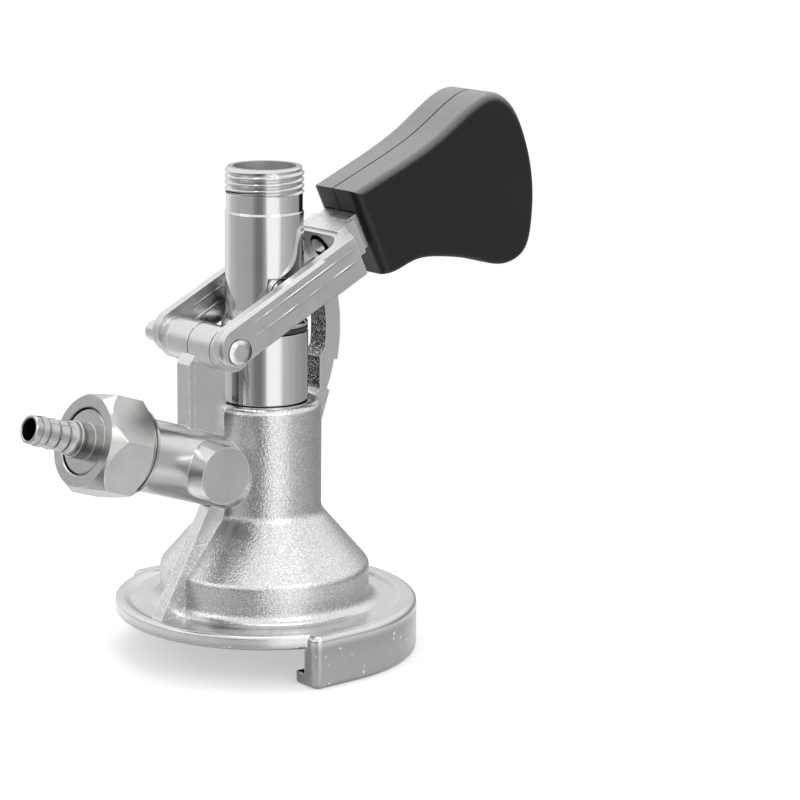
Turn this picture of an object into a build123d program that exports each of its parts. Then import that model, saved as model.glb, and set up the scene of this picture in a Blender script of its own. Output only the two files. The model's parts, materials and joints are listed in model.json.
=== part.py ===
from build123d import *
import os
from math import asin, cos, degrees, radians, sin, sqrt

# A lever-operated keg coupler: a cast bell that slides on a keg valve, a probe that a forked lever
# drives down into it, a latching pull-out handle and a barbed gas inlet.
# Millimetres, +Z up. The origin lies on the probe axis, at the underside of the clamp plate.
# +X points towards the handle and the front of the coupler is -Y.

# Clearances
turning_gap = 0.05
sliding_gap = 0.05
seat_gap = 0.05
seal_gap = 0.10
free_gap = 0.30
seam_gap = 0.15

# Clamp plate with the horseshoe rail that hooks under the keg valve flange
plate_step = 0.9
plate_thickness = 4.1
plate_rim_width = 2.4
plate_slope = 2.2
plate_dish = 0.7
rail_half_width = 44.8
rail_wall = 5.4
rail_reach = 16.5
hook_reach = 3.6
hook_thickness = 4.0
rail_corner = 2.5
rail_round = 1.8
keg_flange_gap = 7.4

# Bell and neck
skirt_radius = 30.7
skirt_height = 14.2
neck_radius = 16.6
neck_start = 30.5
neck_top = 63.0
neck_rim_round = 2.2
neck_mouth_radius = 13.7
neck_mouth_depth = 1.8
socket_radius = 26.0
socket_depth = 3.0
gas_gallery_radius = 14.4
gas_gallery_start = 27.5
gas_gallery_top = 47.0

# Probe tube
probe_radius = 12.65
probe_top = 131.0
probe_bore = 7.0
outlet_bore = 9.2
outlet_bore_depth = 12.0
outlet_thread_radius = 11.455
outlet_thread_length = 7.7
outlet_relief = 5.0
upper_tube_radius = 11.35
shoulder_height = 87.2
ring_groove_low = 83.4
ring_groove_width = 1.8
ring_groove_depth = 1.75
lug_flat = 9.4
seal_spigot_radius = 10.4
seal_spigot_length = 7.0
seal_lip = 1.0
cage_bore = 8.3

# Seals
body_seal_height = 5.0
body_seal_inner = 16.8
body_seal_radius = 23.8
probe_seal_radius = 15.4
neck_ring_section = 2.2
guide_ring_height = 4.0
guide_ring_wall = 1.9

# Beer check ball
ball_radius = 5.6
ball_travel = 4.0
cage_wall_gap = 0.5
cage_seat_hole = 3.4
cage_stop_hole = 3.6
cage_stop_thickness = 1.6
cage_window_start = 4.6
cage_window_width = 5.0
retainer_section = 0.9

# Hinge
hinge_x = -21.6
hinge_z = 81.8
hinge_pin_radius = 2.9
hinge_pin_head_radius = 3.6
hinge_pin_head_height = 1.9
hinge_pin_tail = 8.9
knuckle_radius = 6.2
knuckle_half_width = 10.0
upright_outer_x = -29.3
upright_inner_x = -15.6
upright_flange_width = 5.8
upright_flange_thickness = 2.2
upright_web_thickness = 4.2

# Latch post, an arc about the hinge axis
post_outer = 47.1
post_inner = 41.7
post_width = 7.0
notch_depth = 1.2
notch_play_angle = 2.0
post_top_play_angle = 0.6
post_step_x = 17.8

# Lever fork, in its own frame: along the arms from the hinge, and up from the hinge
lever_rest_angle = 25.6
lever_travel = 47.0
arm_outer = 16.6
arm_thickness = 3.6
arm_height = 12.3
arm_pin_drop = 1.85
arm_length = 49.4
window_end = 48.2
window_corner = 6.0
lug_reach = 24.8
lug_radius = 5.4
lug_play = 0.4
hub_radius = 6.0
pin_head_recess = 4.25
tang_half_width = 9.0
tang_shoulder = 52.8
tang_end = 56.6
tang_drop = 5.5
tang_rise = 5.5
tang_neck_half_width = 7.0
tang_neck_end = 64.4
spigot_radius = 5.6
spigot_end = 81.8

# Latch bolt and its spring, a little above the middle line of the arms
bolt_height = 3.0
bolt_radius = 2.9
bolt_clear = 0.5
bolt_bevel = 1.6
bolt_collar_radius = 4.0
bolt_collar_width = 2.5
bolt_collar_start = 55.3
bolt_tail_end = 93.8
bolt_bore = 4.1
bolt_bore_end = 73.8
pull_out = 5.0
snap_in = 1.4
latch_wire = 0.35
latch_coils = 8
cross_pin_radius = 1.25

# Handle: a cast carrier inside two moulded shells
carrier_length = 28.0
carrier_height = 18.0
carrier_half_width = 8.0
grip_mouth = 59.6
grip_wall = 2.4
grip_half_mouth = 10.0
grip_half_end = 11.6
grip_edge_round = 3.0
grip_end_reach = 124.8
grip_depth = 52.2
grip_screw_radius = 1.5
grip_screw_gap = 8.95
grip_screw_head = 2.9
screw_head_depth = 3.0

# Gas inlet, in its own frame along the inlet axis
inlet_tilt = 18.5
inlet_height = 38.1
inlet_radius = 10.5
inlet_thread_radius = 11.4
inlet_thread_start = 48.5
inlet_face = 59.0
inlet_bore = 7.0
gas_port = 4.5
boss_radius = 8.35
boss_reach = 17.0
boss_distance = 28.5
nut_start = 51.9
nut_length = 15.6
nut_across_flats = 27.0
nut_front_circle = 13.2
nut_front_chamfer = 3.0
nut_back_chamfer = 2.4
nut_collar_radius = 12.9
nut_collar_length = 2.0
nut_front_wall = 4.0
nut_turn = 12.0
nut_hole = 9.7
washer_thickness = 1.9
tail_disc_radius = 9.3
tail_disc_recess = 0.5
tail_hub_radius = 5.25
tail_hub_length = 5.6
tail_bore = 3.2
barb_root = 3.6
barb_crest = 4.4
barb_tip = 4.0
barb_tip_length = 2.9
barb_count = 3
barb_pitch = 3.5
barb_length = 1.7
barb_first = 2.2
rib_thickness = 4.4

# Gas check valve in the inlet
cartridge_radius = 6.9
cartridge_length = 20.0
cartridge_bore = 5.2
valve_seat_hole = 3.0
valve_seat_wall = 2.4
spider_thickness = 2.2
poppet_radius = 4.3
poppet_thickness = 2.0
poppet_stem = 1.1
poppet_travel = 2.5
gas_wire = 0.3
gas_coils = 6
valve_ring_section = 0.8
valve_ring_place = 7.0

# Places that follow from the sizes above
plate_radius = rail_half_width - plate_step
hook_bottom = -(keg_flange_gap + hook_thickness)
slot_half = lug_radius + lug_play
slot_centre = hinge_z + lug_reach * sin(radians(lever_rest_angle)) + arm_pin_drop * cos(radians(lever_rest_angle))
probe_bottom = socket_depth + 0.6
arm_inner = arm_outer - arm_thickness
arm_low = arm_pin_drop - arm_height / 2
arm_top = arm_pin_drop + arm_height / 2
bolt_tip = post_outer + bolt_clear
bolt_angle = degrees(asin(bolt_height / post_outer))
bolt_half_angle = degrees(asin(bolt_radius / post_outer))
latched_angle = lever_rest_angle - lever_travel + bolt_angle
carrier_start = tang_neck_end + snap_in + seat_gap
inlet_bore_end = inlet_face - cartridge_length - poppet_travel - 0.5
collar_end = bolt_collar_start + bolt_collar_width
seal_pocket_top = socket_depth + seal_gap + body_seal_height
nut_end = nut_start + nut_length
nut_seat = nut_end - nut_front_wall
lever_frame = Plane(
    origin=(hinge_x, 0, hinge_z),
    x_dir=(cos(radians(lever_rest_angle)), 0, sin(radians(lever_rest_angle))),
    z_dir=(-sin(radians(lever_rest_angle)), 0, cos(radians(lever_rest_angle))),
)
inlet_frame = Plane(
    origin=(0, 0, inlet_height),
    x_dir=(0, 1, 0),
    z_dir=(-cos(radians(inlet_tilt)), 0, sin(radians(inlet_tilt))),
)


def turned(*points, rounds=0):
    """A solid of revolution about Z from (radius, height) corners."""
    outline = FilletPolyline(*points, radius=rounds, close=True)
    return revolve(Plane.XZ * make_face(outline), axis=Axis.Z)


def rod(radius, low, high):
    """A cylinder on Z between two heights."""
    return Pos(0, 0, low) * Cylinder(radius, high - low, align=(Align.CENTER, Align.CENTER, Align.MIN))


def ring(outer, inner, low, high):
    return rod(outer, low, high) - rod(inner, low, high)


def block(x_low, x_high, y_low, y_high, z_low, z_high):
    size = Box(x_high - x_low, y_high - y_low, z_high - z_low, align=(Align.MIN, Align.MIN, Align.MIN))
    return Pos(x_low, y_low, z_low) * size


def slab(outline, y_low, y_high):
    """A plate with its outline in XZ between two Y values."""
    face = Pos(0, y_low, 0) * (Plane.XZ * make_face(outline))
    return extrude(face, amount=y_high - y_low, dir=(0, 1, 0))


def cross_rod(radius, x, z, y_low, y_high):
    """A cylinder along Y."""
    return Pos(x, y_low, z) * Rotation(-90, 0, 0) * rod(radius, 0, y_high - y_low)


def along_rod(radius, z, x_low, x_high):
    """A cylinder along X."""
    return Pos(x_low, 0, z) * Rotation(0, 90, 0) * rod(radius, 0, x_high - x_low)


def both_sides(shape):
    return shape + mirror(shape, about=Plane.XZ)


def horseshoe(inset, reach):
    """Plan of the rail at an inset from its outer edge: a half circle with straight sides to -X."""
    half = rail_half_width - inset
    straight = Pos(-reach / 2, 0) * Rectangle(reach, 2 * half)
    arch = Circle(half) & Pos(half / 2, 0) * Rectangle(half, 2 * half)
    return straight + arch


def bell():
    return turned(
        (0, 0),
        (plate_radius, 0),
        (plate_radius, plate_thickness),
        (plate_radius - plate_rim_width, plate_thickness),
        (plate_radius - plate_rim_width - plate_slope, plate_thickness - plate_dish),
        (skirt_radius, plate_thickness - plate_dish),
        (skirt_radius, skirt_height),
        (neck_radius, neck_start),
        (neck_radius, neck_top),
        (0, neck_top),
        rounds=[0, 1.0, 1.0, 2.0, 2.0, 3.5, 3.0, 5.0, neck_rim_round, 0],
    )


def rail():
    """Walls down from the plate with a hook turned in along their foot, eased outside."""
    height = plate_thickness - hook_bottom
    shell = extrude(horseshoe(0, rail_reach), amount=height)
    shell = fillet(shell.edges().filter_by(Axis.Z), rail_corner)
    levels = shell.edges().group_by(Axis.Z)
    shell = fillet(levels[0] + levels[-1], rail_round)
    shell -= Pos(0, 0, hook_thickness) * extrude(horseshoe(rail_wall, rail_reach + 1), amount=height)
    shell -= Pos(0, 0, -1) * extrude(horseshoe(rail_wall + hook_reach, rail_reach + 1), amount=height)
    return Pos(0, 0, hook_bottom) * shell


def bell_cavity():
    """Keg socket, body seal pocket, bell chamber and the gas gallery round the probe."""
    chamber = body_seal_radius - 2
    return turned(
        (0, -1),
        (socket_radius, -1),
        (socket_radius, socket_depth),
        (body_seal_radius + seat_gap, socket_depth),
        (body_seal_radius + seat_gap, seal_pocket_top),
        (chamber, seal_pocket_top),
        (chamber, skirt_height - 3),
        (gas_gallery_radius, gas_gallery_start),
        (gas_gallery_radius, gas_gallery_top),
        (0, gas_gallery_top),
    )


def neck_bore():
    """Running bore for the probe, with one groove for the ring seal and one for the guide ring."""
    bore = rod(probe_radius + sliding_gap, gas_gallery_top - 1, neck_top + 1)
    seal = rod(ring_seal_outer() + seat_gap, ring_seal_low(), ring_seal_low() + neck_ring_section + seat_gap)
    guide = rod(guide_outer() + seat_gap, guide_low(), guide_low() + guide_ring_height)
    mouth = rod(neck_mouth_radius, neck_top - neck_mouth_depth, neck_top + 1)
    return bore + seal + guide + mouth


def ring_seal_low():
    return gas_gallery_top + 3.0


def ring_seal_outer():
    return probe_radius + seal_gap + neck_ring_section


def guide_low():
    return ring_seal_low() + neck_ring_section + 2.6


def guide_outer():
    return probe_radius + sliding_gap + guide_ring_wall


def hinge_upright():
    """T-section post that carries the hinge knuckle."""
    foot = inlet_height + 12
    web = Polyline(
        (upright_outer_x, foot),
        (upright_outer_x, hinge_z - 5),
        (hinge_x, hinge_z + 1),
        (upright_inner_x - 1.5, hinge_z - 4),
        (upright_inner_x, hinge_z - 8),
        (upright_inner_x, foot),
        close=True,
    )
    half_web = upright_web_thickness / 2
    half_flange = upright_flange_width / 2
    flange_inner = upright_outer_x + upright_flange_thickness
    flange = Polyline(
        (upright_outer_x, foot),
        (upright_outer_x, hinge_z - 5),
        (flange_inner, hinge_z - 2),
        (flange_inner, foot),
        close=True,
    )
    knuckle = cross_rod(knuckle_radius, hinge_x, hinge_z, -knuckle_half_width, knuckle_half_width)
    crease = ring(knuckle_radius + 1, knuckle_radius - 0.5, -0.35, 0.35)
    crease = Pos(hinge_x, 0, hinge_z) * Rotation(90, 0, 0) * crease
    return slab(web, -half_web, half_web) + slab(flange, -half_flange, half_flange) + (knuckle - crease)


def polar(radius, angle):
    """A point of the XZ plane at an angle about the hinge axis."""
    return (hinge_x + radius * cos(radians(angle)), hinge_z + radius * sin(radians(angle)))


def hinge_arc(radius, start, end):
    return ThreePointArc(polar(radius, start), polar(radius, (start + end) / 2), polar(radius, end))


def latch_post():
    """Arc-backed post with the latch notch near its foot."""
    high = lever_rest_angle + bolt_angle - bolt_half_angle - post_top_play_angle
    step_angle = -7.5
    notch_high_angle = latched_angle + bolt_half_angle + notch_play_angle
    notch_low_angle = latched_angle - bolt_half_angle - notch_play_angle
    notch_floor = post_outer - notch_depth
    foot_z = neck_top - 14
    outline = hinge_arc(post_outer, high, notch_high_angle)
    outline += Line(polar(post_outer, notch_high_angle), polar(notch_floor, notch_high_angle))
    outline += hinge_arc(notch_floor, notch_high_angle, notch_low_angle)
    outline += Line(polar(notch_floor, notch_low_angle), polar(post_outer, notch_low_angle))
    outline += Polyline(
        polar(post_outer, notch_low_angle),
        (neck_radius + 2.0, neck_top - 8.5),
        (neck_radius - 0.5, foot_z),
        (probe_radius + 2.5, foot_z),
        (probe_radius + 2.5, neck_top - 0.8),
        (post_step_x, neck_top + 0.6),
        (post_step_x, polar(post_inner, step_angle)[1] - 3),
        polar(post_inner, step_angle),
    )
    outline += hinge_arc(post_inner, step_angle, high)
    outline += Line(polar(post_inner, high), polar(post_outer, high))
    return slab(outline, -post_width / 2, post_width / 2)


def inlet_branch():
    neck = rod(inlet_radius, 0, inlet_thread_start + 1)
    thread = rod(inlet_thread_radius, inlet_thread_start, inlet_face)
    thread = chamfer(thread.edges().filter_by(GeomType.CIRCLE), 0.8)
    boss = Pos(0, 0, boss_distance) * Rotation(0, -90, 0) * rod(boss_radius, 0, boss_reach)
    return inlet_frame * (neck + thread + boss)


def inlet_bores():
    return inlet_frame * (rod(inlet_bore, inlet_bore_end, inlet_face + 1) + rod(gas_port, 10, inlet_face))


def gusset():
    """Rib from the inlet branch down the bell to the plate."""
    top_z = inlet_height - 4
    outline = Polyline(
        (-neck_radius + 1, top_z + 2),
        (-neck_radius - 5.4, top_z),
        (-plate_radius + plate_rim_width + plate_slope, plate_thickness - plate_dish - 0.2),
        (-skirt_radius + 2, plate_thickness - plate_dish - 0.2),
        (-skirt_radius + 2, skirt_height - 2),
        (-neck_radius + 1, neck_start - 2),
        close=True,
    )
    return slab(outline, -rib_thickness / 2, rib_thickness / 2)


def body():
    casting = bell() + rail() + hinge_upright() + latch_post() + inlet_branch() + gusset()
    casting -= bell_cavity()
    casting -= neck_bore()
    casting -= inlet_bores()
    pin_hole = cross_rod(hinge_pin_radius + seat_gap, hinge_x, hinge_z, -arm_outer, arm_outer)
    return casting - pin_hole


def body_seal():
    """Flat keg seal with a sloping inner lip."""
    low = socket_depth + seal_gap
    return turned(
        (body_seal_inner, low + 1.2),
        (body_seal_inner + 2.4, low),
        (body_seal_radius, low),
        (body_seal_radius, low + body_seal_height),
        (body_seal_inner + 2.0, low + body_seal_height),
        (body_seal_inner, low + body_seal_height - 1.4),
        rounds=[0.4, 0.4, 0.6, 0.6, 0.4, 0.4],
    )


def round_ring(inner, section, low):
    """An O-ring of square-on height and width `section`, standing on a height."""
    radius = section / 2
    return Pos(0, 0, low + radius) * Torus(inner + radius, radius)


def neck_ring_seal():
    return round_ring(probe_radius + seal_gap, neck_ring_section, ring_seal_low())


def neck_guide_ring():
    return ring(guide_outer(), probe_radius + sliding_gap, guide_low(), guide_low() + guide_ring_height)


def probe_tube():
    spigot_top = probe_bottom + seal_spigot_length
    groove_top = ring_groove_low + ring_groove_width
    collar = probe_radius - 0.1
    relief_low = probe_top - outlet_thread_length - outlet_relief
    thread_low = probe_top - outlet_thread_length
    tube = turned(
        (0, probe_bottom),
        (seal_spigot_radius + seal_lip, probe_bottom),
        (seal_spigot_radius + seal_lip, probe_bottom + 1.4),
        (seal_spigot_radius, probe_bottom + 2.0),
        (seal_spigot_radius, spigot_top),
        (probe_radius, spigot_top),
        (probe_radius, ring_groove_low),
        (probe_radius - ring_groove_depth, ring_groove_low),
        (probe_radius - ring_groove_depth, groove_top),
        (collar, groove_top),
        (collar, shoulder_height - 1.2),
        (upper_tube_radius, shoulder_height),
        (upper_tube_radius, relief_low - 0.4),
        (upper_tube_radius - 0.35, relief_low),
        (upper_tube_radius - 0.35, thread_low),
        (outlet_thread_radius, thread_low + 0.5),
        (outlet_thread_radius, probe_top - 0.9),
        (outlet_thread_radius - 0.9, probe_top),
        (0, probe_top),
    )
    bore = rod(probe_bore, probe_bottom - 1, probe_top + 1)
    outlet = rod(outlet_bore, probe_top - outlet_bore_depth, probe_top + 1)
    cage = rod(cage_bore, probe_bottom - 1, cage_stop_low() + cage_stop_thickness)
    groove_low = cage_low() - retainer_section - seat_gap
    clip_groove = rod(cage_bore + retainer_section / 2, groove_low, cage_low())
    slots = both_sides(
        block(-probe_radius, probe_radius, lug_flat, probe_radius + 1, slot_centre - slot_half, slot_centre + slot_half)
    )
    return tube - bore - outlet - cage - clip_groove - slots


def probe_seal():
    """Rubber nose that stretches over the lip of the spigot."""
    inner = seal_spigot_radius + seal_gap
    lip = inner + seal_lip
    top = probe_bottom + seal_spigot_length
    return turned(
        (lip, probe_bottom),
        (lip + 1.6, probe_bottom),
        (probe_seal_radius, probe_bottom + 2.4),
        (probe_seal_radius, top - 1.0),
        (probe_seal_radius - 1.0, top),
        (inner, top),
        (inner, probe_bottom + 2.2),
        (lip, probe_bottom + 1.5),
        rounds=[0, 0.5, 0.8, 0.4, 0.4, 0, 0, 0],
    )


def probe_stop_ring():
    """Rubber ring in the groove under the shoulder of the probe."""
    inner = probe_radius - ring_groove_depth + seat_gap
    section = ring_groove_depth - 2 * seat_gap
    return round_ring(inner, section, ring_groove_low + seat_gap)


def cage_low():
    return probe_bottom + 2.4


def ball_rest_z():
    """Height of the ball's centre when it lies a hair above its seat."""
    return cage_low() + 2.3 + ball_radius * 0.985


def cage_stop_low():
    """Underside of the ring that the lifted ball stops against."""
    return ball_rest_z() + ball_travel + sqrt(ball_radius**2 - cage_stop_hole**2) + seal_gap


def ball_cage():
    """Plastic cage with a conical seat below the ball, windows round it and a stop ring above."""
    low = cage_low()
    high = cage_stop_low() + cage_stop_thickness
    outer = cage_bore - seat_gap
    wall = ball_radius + cage_wall_gap
    seat = turned(
        (cage_seat_hole, low),
        (outer, low),
        (outer, low + 3.4),
        (wall, low + 3.4),
        (cage_seat_hole, low + 1.2),
    )
    cage = ring(outer, wall, low, high) + seat + ring(outer, cage_stop_hole, cage_stop_low(), high)
    half = cage_window_width / 2
    for angle in (0, 120, 240):
        window = block(wall - 1.5, outer + 1, -half, half, low + cage_window_start, cage_stop_low() - 1)
        cage -= Rotation(0, 0, angle) * window
    return cage


def check_ball():
    return Pos(0, 0, ball_rest_z()) * Sphere(ball_radius)


def cage_retainer():
    """Split spring ring under the cage."""
    high = cage_low()
    low = high - retainer_section
    split = block(0, cage_bore + 2, -1.2, 1.2, low - 1, high + 1)
    return ring(cage_bore + retainer_section / 2 - seat_gap, cage_bore - 1.3, low, high) - split


def arm():
    """One lever arm with its hub and the lug that drives the probe, on +Y."""
    beam = block(0, arm_length, arm_inner, arm_outer, arm_low, arm_top)
    beam += cross_rod(arm_height / 2, 0, arm_pin_drop, arm_inner, arm_outer)
    outer_edges = beam.edges().group_by(Axis.Y)[-1]
    beam = chamfer(outer_edges, 0.8)
    hub = cross_rod(hub_radius, 0, 0, knuckle_half_width + 0.15, arm_inner + 1)
    lug = cross_rod(lug_radius, lug_reach, arm_pin_drop, lug_flat + free_gap, arm_inner + 1)
    return beam + hub + lug


def crotch():
    """The bridge between the arms, narrowing to the tang."""
    plan = make_face(
        Polyline(
            (arm_length - 12, -arm_outer),
            (arm_length, -arm_outer),
            (tang_shoulder, -tang_half_width),
            (tang_shoulder, tang_half_width),
            (arm_length, arm_outer),
            (arm_length - 12, arm_outer),
            close=True,
        )
    )
    bridge = Pos(0, 0, arm_low) * extrude(plan, amount=arm_height)
    half = tang_half_width
    tang = block(tang_shoulder - 3, tang_end, -half, half, bolt_height - tang_drop, bolt_height + tang_rise)
    half = tang_neck_half_width
    neck = block(tang_end - 1, tang_neck_end, -half, half, bolt_height - spigot_radius, bolt_height + spigot_radius)
    return bridge + tang + neck


def lever_window():
    """Space between the arms, with round corners at the crotch."""
    low = -40
    plan = Pos((low + window_end) / 2, 0) * RectangleRounded(window_end - low, 2 * arm_inner, window_corner)
    return Pos(0, 0, arm_low - 1) * extrude(plan, amount=arm_height + 2)


def lever_fork():
    arms = both_sides(arm())
    fork = (crotch() - lever_window()) + arms
    fork += along_rod(spigot_radius, bolt_height, tang_neck_end - 2, spigot_end)
    fork -= along_rod(bolt_bore, bolt_height, window_end - 3, bolt_bore_end)
    fork -= along_rod(bolt_radius + sliding_gap, bolt_height, bolt_bore_end - 1, spigot_end + 1)
    fork -= cross_rod(hinge_pin_radius + turning_gap, 0, 0, -arm_outer - 1, arm_outer + 1)
    fork -= cross_rod(pin_head_recess, 0, 0, -arm_outer - 1, -arm_outer + hinge_pin_head_height - 0.5)
    return lever_frame * fork


def hinge_pin():
    """Pin pressed into the knuckle, with a domed head in the front arm."""
    seat_y = -arm_outer + hinge_pin_head_height - 0.5 - seat_gap
    shank = rod(hinge_pin_radius, 0, arm_outer + hinge_pin_tail - seat_y)
    shank = chamfer(shank.edges().filter_by(GeomType.CIRCLE).group_by(Axis.Z)[-1], 0.5)
    head = turned(
        (0, -hinge_pin_head_height),
        (hinge_pin_head_radius - 1.6, -hinge_pin_head_height),
        (hinge_pin_head_radius, -hinge_pin_head_height + 0.9),
        (hinge_pin_head_radius, 0),
        (0, 0),
    )
    return Pos(hinge_x, seat_y, hinge_z) * Rotation(-90, 0, 0) * (shank + head)


def latch_bolt():
    """Spring bolt with a bevelled nose, a spring collar and a cross-drilled tail."""
    bolt = along_rod(bolt_radius, bolt_height, bolt_tip, bolt_tail_end)
    bevel = Polyline(
        (bolt_tip - 1, bolt_height - bolt_radius - 1),
        (bolt_tip + bolt_bevel + 1, bolt_height - bolt_radius - 1),
        (bolt_tip - 1, bolt_height - bolt_radius + bolt_bevel + 1),
        close=True,
    )
    bolt -= slab(bevel, -bolt_radius - 1, bolt_radius + 1)
    bolt += along_rod(bolt_collar_radius, bolt_height, bolt_collar_start, collar_end)
    bolt -= cross_rod(cross_pin_radius + seat_gap, cross_pin_u(), bolt_height, -bolt_radius - 1, bolt_radius + 1)
    return lever_frame * bolt


def cross_pin_u():
    return bolt_tail_end - 4.0


def latch_cross_pin():
    """Pin that ties the bolt's tail to the carrier."""
    half = carrier_half_width
    return lever_frame * cross_rod(cross_pin_radius, cross_pin_u(), bolt_height, -half, half)


def coil(mean_radius, wire, turns, length):
    """A compression spring on Z, standing on the origin."""
    rise = length - 2 * wire
    path = Helix(pitch=rise / turns, height=rise, radius=mean_radius)
    section = Plane(origin=path @ 0, z_dir=path % 0) * Circle(wire)
    return Pos(0, 0, wire) * sweep(section, path=path)


def latch_spring():
    spring = coil((bolt_radius + bolt_bore) / 2, latch_wire, latch_coils, bolt_bore_end - collar_end)
    return lever_frame * (Pos(collar_end, 0, bolt_height) * Rotation(0, 90, 0) * spring)


def grip_point(along, up):
    """A point of the handle's outline in the lever's frame, drawn on a handle 65.2 long and 52.2 deep."""
    return grip_mouth + along * (grip_end_reach - grip_mouth) / 65.2, up * grip_depth / 52.2


def grip_outline():
    """Side view of the handle in the lever's frame: a flared paddle with a finger hollow below."""
    mouth_top = grip_point(0, 16.2)
    mouth_bottom = grip_point(0, -12.4)
    back = Spline(
        mouth_top,
        grip_point(16.7, 15.3),
        grip_point(36.2, 15.4),
        grip_point(50.2, 17.1),
        grip_point(59.2, 15.7),
        grip_point(63.8, 9.9),
        grip_point(65.2, -0.6),
        grip_point(62.8, -15.6),
        grip_point(56.8, -28.4),
        grip_point(50.2, -35.1),
        grip_point(42.7, -34.8),
        grip_point(34.2, -28.6),
        grip_point(22.2, -19.8),
        grip_point(11.7, -15.0),
        grip_point(4.7, -14.2),
        mouth_bottom,
    )
    return back + Line(mouth_bottom, mouth_top)


def grip_solid():
    """The closed paddle: its side outline cut to a plan that widens towards the end."""
    width = grip_half_end + 2
    paddle = slab(grip_outline(), -width, width)
    plan = make_face(
        Polyline(
            (grip_mouth - 5, -grip_half_mouth),
            (grip_end_reach + 5, -grip_half_end),
            (grip_end_reach + 5, grip_half_end),
            (grip_mouth - 5, grip_half_mouth),
            close=True,
        )
    )
    paddle = paddle & Pos(0, 0, -60) * extrude(plan, amount=100)
    sides = paddle.faces().filter_by(GeomType.PLANE).sort_by(Axis.Y)
    return fillet(sides[0].edges() + sides[-1].edges(), grip_edge_round)


def grip_hollow():
    """Pocket for the carrier and a mouth that the lever's neck slides through."""
    half = carrier_half_width + seat_gap
    low, high = carrier_heights()
    end = carrier_start + carrier_length + seat_gap
    pocket = block(grip_mouth + grip_wall, end, -half, half, low - seat_gap, high + seat_gap)
    half = tang_neck_half_width + free_gap
    reach = spigot_radius + free_gap
    mouth = block(grip_mouth - 1, grip_mouth + 5, -half, half, bolt_height - reach, bolt_height + reach)
    return pocket + mouth


def grip_half(side):
    """One moulded half of the handle: -1 for the front shell and 1 for the back one."""
    y_low, y_high = sorted((side * seam_gap, side * 30))
    half = grip_solid() & block(grip_mouth - 10, grip_end_reach + 10, y_low, y_high, -60, 40)
    return half - grip_hollow()


def carrier_heights():
    return bolt_height - carrier_height / 2, bolt_height + carrier_height / 2


def screw_places():
    """Places of the handle screws in the lever's frame: one beyond the carrier, one in the flare."""
    upper = (carrier_start + carrier_length + grip_screw_gap, 6.4 * grip_depth / 52.2)
    return upper, grip_point(46.2, -20.6)


def screw_bores():
    """Through holes for the handle screws, counterbored in the back shell."""
    bores = None
    for along, up in screw_places():
        shaft = cross_rod(grip_screw_radius + seat_gap, along, up, -grip_half_mouth + 2.2, 30)
        head_y = grip_half_mouth - screw_head_depth + 0.5
        head = cross_rod(grip_screw_head + 0.15, along, up, head_y, 30)
        bores = shaft + head if bores is None else bores + shaft + head
    return bores


def grip_shell_front():
    return lever_frame * (grip_half(-1) - screw_bores())


def grip_shell_back():
    return lever_frame * (grip_half(1) - screw_bores())


def grip_screws():
    """Two pan-head screws from the back shell into the front one."""
    head_y = grip_half_mouth - screw_head_depth + 0.5
    screws = []
    for along, up in screw_places():
        shank = cross_rod(grip_screw_radius, along, up, -grip_half_mouth + 2.6, head_y + 0.5)
        head = cross_rod(grip_screw_head, along, up, head_y, head_y + 2.2)
        socket = cross_rod(1.2, along, up, head_y + 1.0, head_y + 3)
        screws.append(lever_frame * (shank + head - socket))
    return Compound(children=screws)


def grip_carrier():
    """Cast block inside the shells that slides on the lever's spigot."""
    low, high = carrier_heights()
    end = carrier_start + carrier_length
    half = carrier_half_width
    carrier = block(carrier_start, end, -half, half, low, high)
    carrier = fillet(carrier.edges().filter_by(Axis.X), 2.0)
    socket_end = spigot_end + snap_in + seat_gap
    carrier -= along_rod(spigot_radius + sliding_gap, bolt_height, carrier_start - 1, socket_end)
    carrier -= along_rod(bolt_radius + seat_gap, bolt_height, spigot_end, end + 1)
    carrier -= cross_rod(cross_pin_radius + seat_gap, cross_pin_u(), bolt_height, -half - 1, half + 1)
    return lever_frame * carrier


def union_nut():
    """Hexagon nut with a collar behind it, which draws the hose tail on to the inlet."""
    half = nut_across_flats / 2
    corner = half / cos(radians(30))
    prism = Pos(0, 0, nut_start) * extrude(RegularPolygon(corner, 6, rotation=nut_turn), amount=nut_length)
    crown = turned(
        (0, nut_start),
        (nut_collar_radius, nut_start),
        (corner + 0.1, nut_start + nut_back_chamfer),
        (corner + 0.1, nut_end - nut_front_chamfer),
        (nut_front_circle, nut_end),
        (0, nut_end),
    )
    collar = rod(nut_collar_radius, nut_start - nut_collar_length, nut_start + 1)
    collar -= ring(nut_collar_radius + 1, nut_collar_radius - 0.4, nut_start - 0.8, nut_start - 0.2)
    thread = rod(inlet_thread_radius + seat_gap, nut_start - nut_collar_length - 1, nut_seat)
    hole = rod(nut_hole, nut_start, nut_end + 1)
    return inlet_frame * ((prism & crown) + collar - thread - hole)


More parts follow.
